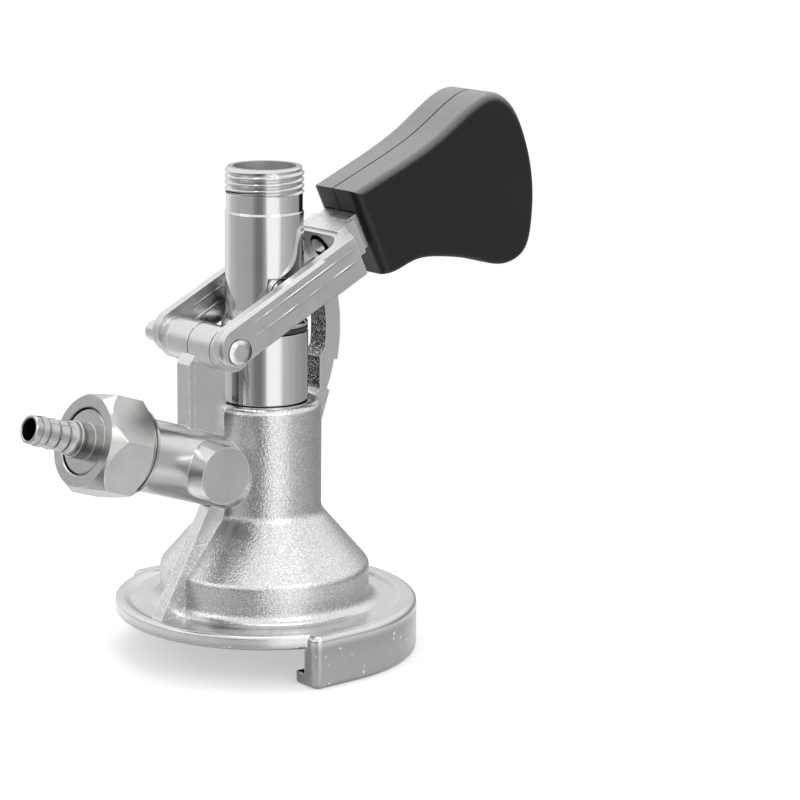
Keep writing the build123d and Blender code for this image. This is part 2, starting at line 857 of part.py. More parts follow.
def hose_tail():
    """Barbed tail: collar under the nut, disc in its hole, turned hub and a ridged stem."""
    collar_low = inlet_face + washer_thickness
    disc_end = nut_end - tail_disc_recess
    hub_end = disc_end + tail_hub_length
    points = [
        (tail_bore, collar_low),
        (inlet_thread_radius - 0.3, collar_low),
        (inlet_thread_radius - 0.3, nut_seat),
        (tail_disc_radius, nut_seat),
        (tail_disc_radius, disc_end - 0.4),
        (tail_disc_radius - 0.4, disc_end),
        (tail_hub_radius, disc_end),
        (tail_hub_radius, hub_end - 1.6),
        (tail_hub_radius - 0.3, hub_end - 1.3),
        (tail_hub_radius - 0.3, hub_end - 0.3),
        (barb_root, hub_end),
    ]
    for ridge in range(barb_count):
        start = hub_end + barb_first + ridge * barb_pitch
        points += [(barb_root, start), (barb_crest, start + 0.2), (barb_root, start + barb_length)]
    tip_start = hub_end + barb_first + (barb_count - 1) * barb_pitch + barb_length
    end = tip_start + barb_tip_length
    points += [(barb_tip, tip_start + 0.1), (barb_tip, end - 0.2), (barb_tip - 0.2, end), (tail_bore, end)]
    return inlet_frame * revolve(Plane.XZ * make_face(Polyline(*points, close=True)), axis=Axis.Z)


def tail_washer():
    washer = ring(inlet_thread_radius - 1.2, inlet_bore - 1.6, inlet_face, inlet_face + washer_thickness)
    return inlet_frame * washer


def cartridge_low():
    return inlet_face - cartridge_length


def seat_face():
    return inlet_face - valve_seat_wall


def gas_valve_body():
    """Cartridge with a seat at the hose end and a spider that guides the poppet."""
    low = cartridge_low()
    cartridge = rod(cartridge_radius, low, inlet_face)
    cartridge -= rod(cartridge_bore, low + spider_thickness, seat_face())
    cartridge -= rod(valve_seat_hole, seat_face() - 1, inlet_face + 1)
    cartridge -= rod(poppet_stem + turning_gap, low - 1, low + spider_thickness + 1)
    ports = PolarLocations(3.2, 4)
    for port in ports:
        cartridge -= port * rod(1.1, low - 1, low + spider_thickness + 1)
    groove = ring(cartridge_radius + 1, cartridge_radius - valve_ring_section, *valve_ring_heights())
    return inlet_frame * (cartridge - groove)


def valve_ring_heights():
    low = cartridge_low() + valve_ring_place
    return low, low + valve_ring_section + seat_gap


def gas_valve_ring_seal():
    inner = cartridge_radius - valve_ring_section + seat_gap
    return inlet_frame * round_ring(inner, valve_ring_section - seat_gap, valve_ring_heights()[0])


def poppet_high():
    return seat_face() - seat_gap


def gas_poppet():
    """Disc with a raised rubber-faced nose and a guide stem."""
    high = poppet_high()
    low = cartridge_low()
    head = turned(
        (0, high - poppet_thickness),
        (poppet_radius, high - poppet_thickness),
        (poppet_radius, high),
        (valve_seat_hole - 0.3, high),
        (valve_seat_hole - 0.8, high + 0.8),
        (0, high + 0.8),
    )
    return inlet_frame * (head + rod(poppet_stem, low + 0.2, high))


def gas_spring():
    base = cartridge_low() + spider_thickness
    spring = coil(2.6, gas_wire, gas_coils, poppet_high() - poppet_thickness - base)
    return inlet_frame * (Pos(0, 0, base) * spring)


def main():
    os.makedirs("parts", exist_ok=True)
    pieces = {
        "body": body,
        "body_seal": body_seal,
        "neck_ring_seal": neck_ring_seal,
        "neck_guide_ring": neck_guide_ring,
        "probe_tube": probe_tube,
        "probe_seal": probe_seal,
        "probe_stop_ring": probe_stop_ring,
        "ball_cage": ball_cage,
        "cage_retainer": cage_retainer,
        "check_ball": check_ball,
        "lever_fork": lever_fork,
        "hinge_pin": hinge_pin,
        "latch_bolt": latch_bolt,
        "latch_spring": latch_spring,
        "latch_cross_pin": latch_cross_pin,
        "grip_shell_front": grip_shell_front,
        "grip_shell_back": grip_shell_back,
        "grip_carrier": grip_carrier,
        "grip_screws": grip_screws,
        "union_nut": union_nut,
        "hose_tail": hose_tail,
        "tail_washer": tail_washer,
        "gas_valve_body": gas_valve_body,
        "gas_valve_ring_seal": gas_valve_ring_seal,
        "gas_poppet": gas_poppet,
        "gas_spring": gas_spring,
    }
    for name, build in pieces.items():
        export_step(build(), f"parts/{name}.step")


main()
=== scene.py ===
"""Looks for a lever-operated keg coupler, laid out as a Blender add-on and run as a script."""

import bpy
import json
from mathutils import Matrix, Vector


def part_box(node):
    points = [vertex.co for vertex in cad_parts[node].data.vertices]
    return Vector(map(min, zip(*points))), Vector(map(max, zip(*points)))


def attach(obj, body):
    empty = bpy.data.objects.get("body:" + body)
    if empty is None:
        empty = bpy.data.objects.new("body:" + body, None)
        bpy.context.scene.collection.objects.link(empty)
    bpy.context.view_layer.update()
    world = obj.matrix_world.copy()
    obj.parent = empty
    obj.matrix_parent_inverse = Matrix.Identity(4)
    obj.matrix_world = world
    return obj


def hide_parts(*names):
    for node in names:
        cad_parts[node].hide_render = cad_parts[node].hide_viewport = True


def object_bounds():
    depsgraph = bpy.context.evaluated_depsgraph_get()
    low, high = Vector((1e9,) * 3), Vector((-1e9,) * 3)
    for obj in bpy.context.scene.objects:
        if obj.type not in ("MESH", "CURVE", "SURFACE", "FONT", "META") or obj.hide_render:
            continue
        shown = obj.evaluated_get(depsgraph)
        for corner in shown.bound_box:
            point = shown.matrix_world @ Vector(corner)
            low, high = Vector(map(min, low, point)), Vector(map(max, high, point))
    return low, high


bl_info = {
    "name": "Keg Coupler Looks",
    "version": (1, 0, 0),
    "blender": (4, 5, 0),
    "location": "View3D > Sidebar > Coupler",
    "description": "Dresses the packed keg coupler with finished surfaces, threads and a studio",
    "category": "Object",
}

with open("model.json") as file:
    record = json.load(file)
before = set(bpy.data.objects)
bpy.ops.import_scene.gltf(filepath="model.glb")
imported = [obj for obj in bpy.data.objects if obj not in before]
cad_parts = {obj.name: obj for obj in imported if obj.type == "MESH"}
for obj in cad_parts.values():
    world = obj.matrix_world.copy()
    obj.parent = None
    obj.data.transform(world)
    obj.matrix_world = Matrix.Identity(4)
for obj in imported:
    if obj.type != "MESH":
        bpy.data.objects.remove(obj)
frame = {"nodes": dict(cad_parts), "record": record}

import json
from math import asin, cos, pi, radians, sin

import bmesh
import bpy
from bpy.props import FloatProperty, FloatVectorProperty, IntProperty, PointerProperty
from bpy.types import Operator, Panel, PropertyGroup
from mathutils import Matrix, Vector

CAD_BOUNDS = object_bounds()
BEHAVIOUR = frame["record"]["behaviour"]
JOINTS = {joint["name"]: joint for joint in BEHAVIOUR["joints"]}
HINGE = Vector(JOINTS["lever_hinge"]["pos_m"])

# Slopes of the lever at rest and of the inlet, from the joints that slide along them
LEVER_ANGLE = asin(JOINTS["grip_pull"]["axis"][2])
INLET_ANGLE = asin(-JOINTS["gas_valve_slide"]["axis"][2])

# Where the inlet's axis meets the probe's
INLET_FOOT = Vector((0, 0, 0.0381))

# Outline of a hose barb: (distance along the tail, height over the root), in metres
BARB = (
    (-0.0006, -0.00002),
    (-0.0002, 0.00002),
    (0.0002, 0.00022),
    (0.0005, 0.00026),
    (0.0009, 0.00022),
    (0.0022, 0.0),
)

# Outline of the hose tail's end, down to the bore: (distance from the end, height over the tip's radius)
TIP = (
    (-0.0026, 0.00002),
    (-0.0003, 0.0),
    (-0.0001, -0.0001),
    (0.0, -0.0003),
    (0.0, -0.0006),
    (-0.0002, -0.0008),
)

# Studio walls that the metal shows: (degrees round the coupler from its front, brightness)
WALLS = (
    (-180, 1.1),
    (-148, 0.72),
    (-120, 0.58),
    (-80, 0.54),
    (-60, 0.26),
    (-47, 0.26),
    (-38, 0.5),
    (-28, 1.45),
    (0, 1.45),
    (15, 0.75),
    (40, 0.62),
    (62, 0.5),
    (95, 0.4),
    (135, 0.45),
    (180, 1.1),
)


# ---------------------------------------------------------------- settings


def colour(name, description, default):
    return FloatVectorProperty(
        name=name, description=description, default=default, size=4, min=0, max=1, subtype="COLOR"
    )


def length(name, description, default):
    return FloatProperty(
        name=name,
        description=description,
        default=default,
        min=0,
        unit="LENGTH",
        subtype="DISTANCE",
        precision=5,
    )


def share(name, description, default):
    return FloatProperty(name=name, description=description, default=default, min=0, max=1, subtype="FACTOR")


def amount(name, description, default):
    return FloatProperty(name=name, description=description, default=default)


def count(name, description, default):
    return IntProperty(name=name, description=description, default=default, min=3, max=720)


class CouplerFinish(PropertyGroup):
    """Colours and roughness of the materials"""

    cast_colour: colour("Cast steel", "Colour of the blasted casting", (0.58, 0.58, 0.575, 1))
    cast_roughness: share("Cast roughness", "Roughness of the blasted casting", 0.21)
    cast_grain: length("Cast grain", "Size of the blasted grain", 0.00065)
    # Painted shade: the rail's colour and cover paint the clamp rail darker than the casting, standing in for
    # the darker surroundings it reflects
    rail_shade_colour: colour("Rail", "Colour of the clamp rail's darker skin", (0.30, 0.30, 0.295, 1))
    rail_shade_share: share("Rail cover", "How far the rail's skin hides the cast steel", 0.85)
    # Glint colour is painted highlight: bright specks on the rail, painted glints on the blasted bell and
    # neck, and painted highlights on the lever's edges
    glint_colour: colour("Sparks", "Colour of bright grains and worn lever edges", (0.95, 0.95, 0.94, 1))
    # Painted shade: dark specks standing in for shaded grains of the blasted bell and neck
    pit_shade_colour: colour("Pits", "Colour of the dark grains", (0.25, 0.25, 0.25, 1))
    # Painted highlight: the casting's edges and inner corners are painted pale
    edge_highlight_colour: colour("Cast edges", "Colour of the casting's pale edges", (0.93, 0.93, 0.92, 1))
    # Painted shade: near black on the post's inward faces, where the post is in shade
    post_shade_colour: colour("Post skin", "Colour of the dark skin inside the latch post", (0.03, 0.03, 0.03, 1))
    forged_colour: colour("Forged steel", "Colour of the lever", (0.56, 0.56, 0.555, 1))
    forged_roughness: share("Forged roughness", "Roughness of the lever", 0.30)
    turned_colour: colour("Turned steel", "Colour of the probe", (0.60, 0.60, 0.595, 1))
    turned_roughness: share("Turned roughness", "Roughness of the probe", 0.10)
    bore_colour: colour("Bore", "Colour inside the probe's mouth", (0.50, 0.50, 0.495, 1))
    bore_roughness: share("Bore roughness", "Roughness inside the probe's mouth", 0.5)
    nut_colour: colour("Nut steel", "Colour of the nut and tail", (0.46, 0.455, 0.445, 1))
    nut_roughness: share("Nut roughness", "Roughness of the nut and tail", 0.20)
    grip_colour: colour("Grip plastic", "Colour of the handle", (0.003, 0.003, 0.0032, 1))
    # Painted sheen: the handle's upward faces are painted pale to stand in for the light from above
    top_sheen_colour: colour("Grip bloom", "Colour of the handle's pale top", (0.21, 0.21, 0.21, 1))
    # Painted shade: a darker line along the gap between the shells
    seam_shade_colour: colour("Grip seam", "Colour of the joint between the shells", (0.001, 0.001, 0.001, 1))
    grip_roughness: share("Grip roughness", "Roughness of the handle", 0.36)
    grip_shine: share("Grip shine", "Specular level of the handle", 0.36)
    rubber_colour: colour("Rubber", "Colour of the seals", (0.02, 0.02, 0.021, 1))
    white_colour: colour("Natural plastic", "Colour of cage, ball, washer and guide", (0.78, 0.77, 0.72, 1))
    brass_colour: colour("Brass", "Colour of the gas valve", (0.60, 0.42, 0.17, 1))


class CouplerMarks(PropertyGroup):
    """Where one finish of a piece gives way to another, and where painted shade starts and ends"""

    # Rail top is where the rail's painted shade ends
    rail_top: length("Rail top", "Height over the origin where the rail's dark skin ends", 0.00135)
    blast_low: length("Blast low", "Height where the blasted bell starts", 0.0045)
    blast_high: length("Blast high", "Height where the blasted neck ends", 0.0625)
    branch_low: length("Branch low", "Height where the smooth inlet branch starts", 0.0265)
    branch_side: length("Branch side", "Distance from the axis where the inlet branch starts", 0.0155)
    # Post low is where the painted shade on the post starts
    post_low: length("Post low", "Height where the latch post's dark skin starts", 0.064)
    post_side: length("Post side", "Distance from the axis where the latch post starts", 0.0155)
    bead_start: length("Bead start", "Distance along the arm where the beads start", 0.008)
    bead_end: length("Bead end", "Distance along the arm where the beads end", 0.046)
    low_bead_foot: length("Low bead foot", "Height over the arm's axis where the lower bead starts", 0.0008)
    low_bead_top: length("Low bead top", "Height over the arm's axis where the lower bead ends", 0.0013)
    high_bead_foot: length("High bead foot", "Height over the arm's axis where the upper bead starts", 0.0046)
    high_bead_top: length("High bead top", "Height over the arm's axis where the upper bead ends", 0.0050)
    crotch: length("Crotch", "Distance along the arm where the rough crotch starts", 0.0475)
    mouth_radius: length("Mouth radius", "Radius within which the probe's bore is dull", 0.00935)
    mouth_low: length("Mouth low", "Height where the probe's dull mouth starts", 0.1005)
    seam: length("Seam", "Half width of the dark seam round the handle", 0.0003)


class CouplerThread(PropertyGroup):
    """The beer outlet's thread at the top of the probe"""

    crest_radius: length("Crest radius", "Radius over the thread's crests", 0.01140)
    depth: length("Depth", "Height of a thread ridge", 0.00062)
    pitch: length("Pitch", "Rise of the thread in one turn", 0.001814)
    turned_length: length("Length", "Threaded length at the top of the probe", 0.0074)
    bore: length("Bore", "Radius of the probe's mouth", 0.0092)
    lead: length("Lead", "Length of the slope at the mouth", 0.0011)
    lead_slope: share("Lead slope", "Drop of the crests for each length of the slope", 0.75)
    steps: count("Steps", "Divisions round one turn", 144)


class CouplerNut(PropertyGroup):
    """The hexagon nut on the gas inlet"""

    start: length("Start", "Distance of the nut's back face along the inlet", 0.0519)
    length: length("Length", "Length of the hexagon", 0.0156)
    across_flats: length("Across flats", "Width of the hexagon over its flats", 0.0270)
    turn: amount("Turn", "Turn of the hexagon in degrees", 12.0)
    face: length("Face", "Radius of the round front face", 0.0130)
    front_chamfer: length("Front chamfer", "Length of the chamfer in front", 0.0043)
    back_chamfer: length("Back chamfer", "Length of the chamfer behind", 0.0024)
    collar: length("Collar", "Radius of the collar behind the hexagon", 0.0129)
    collar_length: length("Collar length", "Length of the collar", 0.0020)
    edge: length("Edge", "Chamfer of the collar and of the hole", 0.0003)
    groove_depth: length("Groove depth", "Depth of the collar's groove", 0.0005)
    groove_width: length("Groove width", "Width of the groove's floor", 0.0005)
    groove_gap: length("Groove gap", "Distance from the hexagon to the groove's floor", 0.0003)
    groove_slope: length("Groove slope", "Length of the groove's sloped sides", 0.0001)
    wall: length("Wall", "Thickness of the front wall", 0.0040)
    hole: length("Hole", "Radius of the hole in the front wall", 0.0097)
    bore: length("Bore", "Radius of the bore", 0.01145)
    rings: count("Rings", "Divisions along the hexagon", 70)
    steps: count("Steps", "Divisions round the nut", 360)


class CouplerTail(PropertyGroup):
    """The barbed hose tail that the nut holds"""

    flange: length("Flange", "Radius of the flange inside the nut", 0.0110)
    flange_thickness: length("Flange thickness", "Thickness of the flange", 0.0022)
    disc: length("Disc", "Radius of the disc in the nut's hole", 0.0093)
    disc_edge: length("Disc edge", "Chamfer of the disc", 0.0003)
    set_back: length("Set back", "Depth of the disc's face behind the nut's", 0.0005)
    hub_foot: length("Hub foot", "Radius where the hub leaves the disc", 0.0055)
    hub_rise: length("Hub rise", "Length of the slope from the disc to the hub", 0.0002)
    hub: length("Hub", "Radius of the polished hub", 0.00525)
    hub_length: length("Hub length", "Length of the hub", 0.0040)
    waist: length("Waist", "Radius of the step between hub and stem", 0.0049)
    waist_length: length("Waist length", "Length of that step", 0.0011)
    stem: length("Stem", "Radius where the barbed stem starts", 0.0045)
    slope: length("Slope", "Length of the slopes between hub, step and stem", 0.0003)
    seat_edge: length("Seat edge", "Length of the slope between flange and disc", 0.0001)
    barb_start: length("Barb start", "Distance of the first barb from the disc", 0.0078)
    barb_pitch: length("Barb pitch", "Distance from barb to barb", 0.0035)
    barbs: count("Barbs", "Number of barbs", 3)
    root: length("Root", "Radius between the barbs", 0.00414)
    tip: length("Tip", "Radius of the plain tip", 0.0040)
    tip_end: length("Tip end", "Distance of the tip's end from the disc", 0.0193)
    bore: length("Bore", "Radius of the bore", 0.0032)
    steps: count("Steps", "Divisions round the tail", 120)


class CouplerEdges(PropertyGroup):
    """How far sharp edges are rounded"""

    casting: length("Casting edges", "Rounding of the casting's edges", 0.00045)
    lever: length("Lever edges", "Rounding of the lever's edges", 0.00030)
    small: length("Small edges", "Rounding of the small parts", 0.00012)


class CouplerStage(PropertyGroup):
    """Floor, lights and camera"""

    floor_colour: colour("Floor", "Colour of the floor", (0.93, 0.93, 0.93, 1))
    floor_half: length("Floor half", "Half width of the floor", 6.0)
    floor_glow: share("Floor glow", "Share of plain white that the floor shows to the eye", 0.5)
    floor_reach: length("Floor reach", "Distance at which the floor has faded out", 0.42)
    floor_core: share("Floor core", "Share of that distance where the floor is whole", 0.35)
    metal_shrink: amount("Metal shrink", "How many times nearer it fades in what the metal shows", 3.5)
    sky_level: amount("Sky", "Brightness of the studio's ceiling", 1.25)
    sky_low: share("Sky low", "Steepness of view where the walls give way to the ceiling", 0.08)
    sky_high: share("Sky high", "Steepness of view where only the ceiling is left", 0.42)
    key_power: amount("Key", "Power of the key light", 2.0)
    top_power: amount("Top", "Power of the top light", 5.0)
    fill_power: amount("Fill", "Power of the fill light", 0.7)
    lens: amount("Lens", "Focal length in millimetres", 130.3)
    camera_azimuth: amount("Azimuth", "Degrees of the camera round the coupler from its front", -38.0)
    camera_pitch: amount("Pitch", "Degrees that the camera looks down", 12.35)
    camera_place: FloatVectorProperty(name="Place", size=3, default=(-0.5055, -0.6470, 0.2460), precision=4)
    shift_x: amount("Shift X", "Sideways shift of the lens", 0.1694)
    shift_y: amount("Shift Y", "Upward shift of the lens", -0.01625)


# ---------------------------------------------------------------- material tools


def new_material(name):
    material = bpy.data.materials.new(name)
    material.use_nodes = True
    tree = material.node_tree
    return material, tree, tree.nodes["Principled BSDF"]


def node(tree, kind, **values):
    """A new node, with its settings and its unlinked inputs filled in by name."""
    made = tree.nodes.new(kind)
    for key, value in values.items():
        if hasattr(made, key):
            setattr(made, key, value)
        else:
            made.inputs[key].default_value = value
    return made


def place(tree):
    return tree.nodes.new("ShaderNodeTexCoord").outputs["Object"]


def facing(tree):
    return tree.nodes.new("ShaderNodeNewGeometry").outputs["Normal"]


def split(tree, vector):
    """The X, Y and Z of a vector."""
    parts = node(tree, "ShaderNodeSeparateXYZ")
    tree.links.new(vector, parts.inputs[0])
    return tuple(parts.outputs)


def vector_maths(tree, operation, first, second=None):
    """The result of an operation on a vector and, where it takes one, a second, linked or plain."""
    made = node(tree, "ShaderNodeVectorMath", operation=operation)
    tree.links.new(first, made.inputs[0])
    if isinstance(second, bpy.types.NodeSocket):
        tree.links.new(second, made.inputs[1])
    elif second is not None:
        made.inputs[1].default_value = tuple(second)
    return made.outputs["Value" if operation in ("LENGTH", "DOT_PRODUCT") else "Vector"]


def along_axis(tree, vector, angle):
    """The vector turned by an angle about Y, so that a sloping axis lies along X."""
    turn = node(tree, "ShaderNodeMapping", vector_type="POINT", Rotation=(0, angle, 0))
    tree.links.new(vector, turn.inputs["Vector"])
    return turn.outputs["Vector"]


def grain(tree, vector, size, detail=2.0, stretch=(1, 1, 1)):
    """Noise with features of about `size` metres."""
    mapping = node(tree, "ShaderNodeMapping", Scale=tuple(s / size for s in stretch))
    tree.links.new(vector, mapping.inputs["Vector"])
    noise = node(tree, "ShaderNodeTexNoise", Scale=1.0, Detail=detail, Roughness=0.6)
    tree.links.new(mapping.outputs["Vector"], noise.inputs["Vector"])
    return noise.outputs["Fac"]


def spread(tree, value, low, high, start=0.3, stop=0.7):
    """Maps start..stop to low..high, where the usual start and stop suit a noise value."""
    ranged = node(tree, "ShaderNodeMapRange")
    ranged.inputs["From Min"].default_value = start
    ranged.inputs["From Max"].default_value = stop
    ranged.inputs["To Min"].default_value = low
    ranged.inputs["To Max"].default_value = high
    tree.links.new(value, ranged.inputs["Value"])
    return ranged.outputs["Result"]


def varied(tree, noise, middle, swing):
    """A value that wanders with the noise round its middle by a share of it."""
    return spread(tree, noise, middle * (1 - swing), middle * (1 + swing))


def above(tree, value, edge, blur):
    """1 where the value is over the edge and 0 under it, with a soft step."""
    return spread(tree, value, 0.0, 1.0, edge - blur, edge + blur)


def below(tree, value, edge, blur):
    """1 where the value is under the edge and 0 over it, with a soft step."""
    return spread(tree, value, 1.0, 0.0, edge - blur, edge + blur)


def band(tree, value, low, high, blur):
    """1 where the value lies between low and high, with soft ends."""
    return product(tree, above(tree, value, low, blur), below(tree, value, high, blur))


def maths(tree, operation, first, second):
    """The result of an operation on a linked number and a second one, linked or plain."""
    made = node(tree, "ShaderNodeMath", operation=operation)
    tree.links.new(first, made.inputs[0])
    if isinstance(second, float):
        made.inputs[1].default_value = second
    else:
        tree.links.new(second, made.inputs[1])
    return made.outputs[0]


def product(tree, first, second):
    return maths(tree, "MULTIPLY", first, second)


def bump(tree, height, distance, normal=None):
    made = node(tree, "ShaderNodeBump", Strength=1.0, Distance=distance)
    tree.links.new(height, made.inputs["Height"])
    if normal is not None:
        tree.links.new(normal, made.inputs["Normal"])
    return made.outputs["Normal"]


def tinted(tree, base, factor, change):
    """The base colour, lighter and darker by `change` where the factor is 1 and 0."""
    made = node(tree, "ShaderNodeMix", data_type="RGBA")
    made.inputs["A"].default_value = [max(0.0, c * (1 - change)) for c in base[:3]] + [1]
    made.inputs["B"].default_value = [min(1.0, c * (1 + change)) for c in base[:3]] + [1]
    tree.links.new(factor, made.inputs["Factor"])
    return made.outputs["Result"]


def overlaid(tree, socket, value, factor):
    """Lays a plain colour or number over what feeds a socket, by a factor."""
    plain_number = isinstance(value, float)
    mix = node(tree, "ShaderNodeMix", data_type="FLOAT" if plain_number else "RGBA")
    mix.inputs["B"].default_value = value if plain_number else tuple(value)
    tree.links.new(socket.links[0].from_socket, mix.inputs["A"])
    tree.links.new(factor, mix.inputs["Factor"])
    tree.links.new(mix.outputs["Result"], socket)


def edge_mask(tree, radius):
    """1 where a surface lies within `radius` of an edge or an inner corner."""
    rounded = node(tree, "ShaderNodeBevel", samples=4, Radius=radius)
    likeness = vector_maths(tree, "DOT_PRODUCT", rounded.outputs["Normal"], facing(tree))
    return below(tree, likeness, edge=0.935, blur=0.055)


def metal(name, base, roughness, tone_size, tone_change):
    """A metal with a slow change of tone, ready for its own bump."""
    material, tree, shader = new_material(name)
    shader.inputs["Metallic"].default_value = 1.0
    vector = place(tree)
    tone = spread(tree, grain(tree, vector, tone_size), low=0, high=1)
    tree.links.new(tinted(tree, tuple(base), tone, tone_change), shader.inputs["Base Color"])
    rough = varied(tree, grain(tree, vector, tone_size * 0.3), middle=roughness, swing=0.15)
    tree.links.new(rough, shader.inputs["Roughness"])
    return material, tree, shader, vector


# ---------------------------------------------------------------- materials


def cast_steel(finish, marks):
    """Blasted casting: bell and neck with painted glints and painted shade specks, a smooth rail painted
    darker as painted shade, edges painted pale as painted highlights, and painted shade on the post's inward
    faces.
    """
    base, roughness = finish.cast_colour, finish.cast_roughness
    material, tree, shader, vector = metal("cast_steel", base, roughness, tone_size=0.012, tone_change=0.05)
    along, _, height = split(tree, vector)
    size = finish.cast_grain
    coarse = grain(tree, vector, size)
    fine = grain(tree, vector, size * 0.6, detail=1.0)
    waves = grain(tree, vector, size=0.006, detail=1.0)

    under_branch = below(tree, height, marks.branch_low, blur=0.001)
    beside_branch = above(tree, along, -marks.branch_side, blur=0.001)
    clear_of_branch = maths(tree, "MAXIMUM", under_branch, beside_branch)
    belt = band(tree, height, marks.blast_low, marks.blast_high, blur=0.0015)
    blasted = product(tree, belt, clear_of_branch)
    edges = edge_mask(tree, radius=0.0009)
    rough = maths(tree, "MAXIMUM", blasted, edges)
    normal = bump(tree, product(tree, coarse, rough), distance=size * 0.22)
    normal = bump(tree, fine, distance=size * 0.05, normal=normal)
    normal = bump(tree, waves, distance=0.00005, normal=normal)
    tree.links.new(normal, shader.inputs["Normal"])

    colour_in = shader.inputs["Base Color"]
    # Painted shade: the rail below rail_top is painted darker
    rail = below(tree, height, marks.rail_top, blur=0.00085)
    overlaid(tree, colour_in, finish.rail_shade_colour, product(tree, rail, finish.rail_shade_share))
    # Painted glints: sparse bright specks on the rail
    specks = grain(tree, vector, size=0.0013, detail=1.0)
    specks = spread(tree, specks, low=0.0, high=0.9, start=0.72, stop=0.78)
    overlaid(tree, colour_in, finish.glint_colour, product(tree, rail, specks))
    # Painted glints: bright specks on the blasted bell and neck
    sparkle = spread(tree, fine, low=0.0, high=0.55, start=0.55, stop=0.68)
    overlaid(tree, colour_in, finish.glint_colour, product(tree, blasted, sparkle))
    # Painted shade: dark specks on the blasted bell and neck
    pits = spread(tree, fine, low=0.35, high=0.0, start=0.35, stop=0.46)
    overlaid(tree, colour_in, finish.pit_shade_colour, product(tree, blasted, pits))
    # Painted highlight: pale edges and inner corners, varied by noise
    wear_and_glint = spread(tree, coarse, low=0.15, high=0.9, start=0.4, stop=0.6)
    overlaid(tree, colour_in, finish.edge_highlight_colour, product(tree, edges, wear_and_glint))

    # Painted shade: the post's faces that look inward towards the tube are painted near black, with a speckle
    inward = below(tree, split(tree, facing(tree))[0], edge=-0.7, blur=0.2)
    beside_tube = above(tree, along, marks.post_side, blur=0.0005)
    on_post = product(tree, beside_tube, above(tree, height, marks.post_low, blur=0.0006))
    speckles = spread(tree, fine, low=1.0, high=0.2, start=0.52, stop=0.62)
    skin = product(tree, product(tree, inward, on_post), speckles)
    overlaid(tree, colour_in, finish.post_shade_colour, skin)
    return material


def forged_steel(finish, marks):
    """Satin lever with faint beads and scratches along the arms, a rough skin at the crotch and painted
    highlights on its edges.
    """
    base, roughness = finish.forged_colour, finish.forged_roughness
    material, tree, shader, vector = metal("forged_steel", base, roughness, tone_size=0.009, tone_change=0.05)
    on_lever = along_axis(tree, vector_maths(tree, "SUBTRACT", vector, HINGE), LEVER_ANGLE)
    along, _, up = split(tree, on_lever)
    low_bead = band(tree, up, marks.low_bead_foot, marks.low_bead_top, blur=0.0002)
    high_bead = band(tree, up, marks.high_bead_foot, marks.high_bead_top, blur=0.0002)
    wear_and_glint = grain(tree, on_lever, size=0.004, stretch=(0.5, 1, 1))
    wear_and_glint = spread(tree, wear_and_glint, low=0.2, high=1.0, start=0.4, stop=0.6)
    beads = product(tree, maths(tree, "ADD", low_bead, high_bead), wear_and_glint)
    raised = product(tree, beads, band(tree, along, marks.bead_start, marks.bead_end, blur=0.002))
    scratches = grain(tree, on_lever, size=0.0004, stretch=(0.05, 1, 1))
    pits = grain(tree, vector, size=0.0009, detail=3.0)
    rough = grain(tree, vector, size=0.0005)
    crotch = product(tree, rough, above(tree, along, marks.crotch, blur=0.0025))
    normal = bump(tree, scratches, distance=0.00003)
    normal = bump(tree, pits, distance=0.00003, normal=normal)
    normal = bump(tree, crotch, distance=0.00016, normal=normal)
    normal = bump(tree, raised, distance=0.00022, normal=normal)
    tree.links.new(normal, shader.inputs["Normal"])
    # Painted highlight: the lever's edges are painted pale in the glint colour
    bright = spread(tree, pits, low=0.3, high=0.95, start=0.4, stop=0.6)
    pale = product(tree, edge_mask(tree, radius=0.0006), bright)
    overlaid(tree, shader.inputs["Base Color"], finish.glint_colour, pale)
    return material


def turned_steel(finish, marks):
    """Polished tube with fine turning lines round its axis and a duller, rougher mouth."""
    base, roughness = finish.turned_colour, finish.turned_roughness
    material, tree, shader, vector = metal("turned_steel", base, roughness, tone_size=0.02, tone_change=0.03)
    round_axis = (0.01, 0.01, 1)
    lines = grain(tree, vector, size=0.00035, stretch=round_axis)
    bands = grain(tree, vector, size=0.0030, stretch=round_axis)
    normal = bump(tree, lines, distance=0.000003)
    normal = bump(tree, bands, distance=0.00001, normal=normal)
    tree.links.new(normal, shader.inputs["Normal"])
    radius = vector_maths(tree, "LENGTH", vector_maths(tree, "MULTIPLY", vector, (1, 1, 0)))
    inside = below(tree, radius, marks.mouth_radius, blur=0.00005)
    near_top = above(tree, split(tree, vector)[2], marks.mouth_low, blur=0.0005)
    mouth = product(tree, inside, near_top)
    overlaid(tree, shader.inputs["Roughness"], finish.bore_roughness, mouth)
    overlaid(tree, shader.inputs["Base Color"], finish.bore_colour, mouth)
    return material


def nut_steel(finish, marks):
    """Satin turned steel for the union nut and hose tail, with turning lines round the inlet's axis."""
    base, roughness = finish.nut_colour, finish.nut_roughness
    material, tree, shader, vector = metal("nut_steel", base, roughness, tone_size=0.006, tone_change=0.05)
    lines = grain(tree, along_axis(tree, vector, INLET_ANGLE), size=0.0003, stretch=(1, 0.02, 0.02))
    normal = bump(tree, lines, distance=0.00002)
    normal = bump(tree, grain(tree, vector, size=0.0007), distance=0.000012, normal=normal)
    tree.links.new(normal, shader.inputs["Normal"])
    return material


def plain_metal(name, base, roughness, tone_size):
    """Drawn wire or turned brass with a fine grain."""
    material, tree, shader, vector = metal(name, base, roughness, tone_size, tone_change=0.08)
    tree.links.new(bump(tree, grain(tree, vector, size=0.0003), distance=0.00001), shader.inputs["Normal"])
    return material


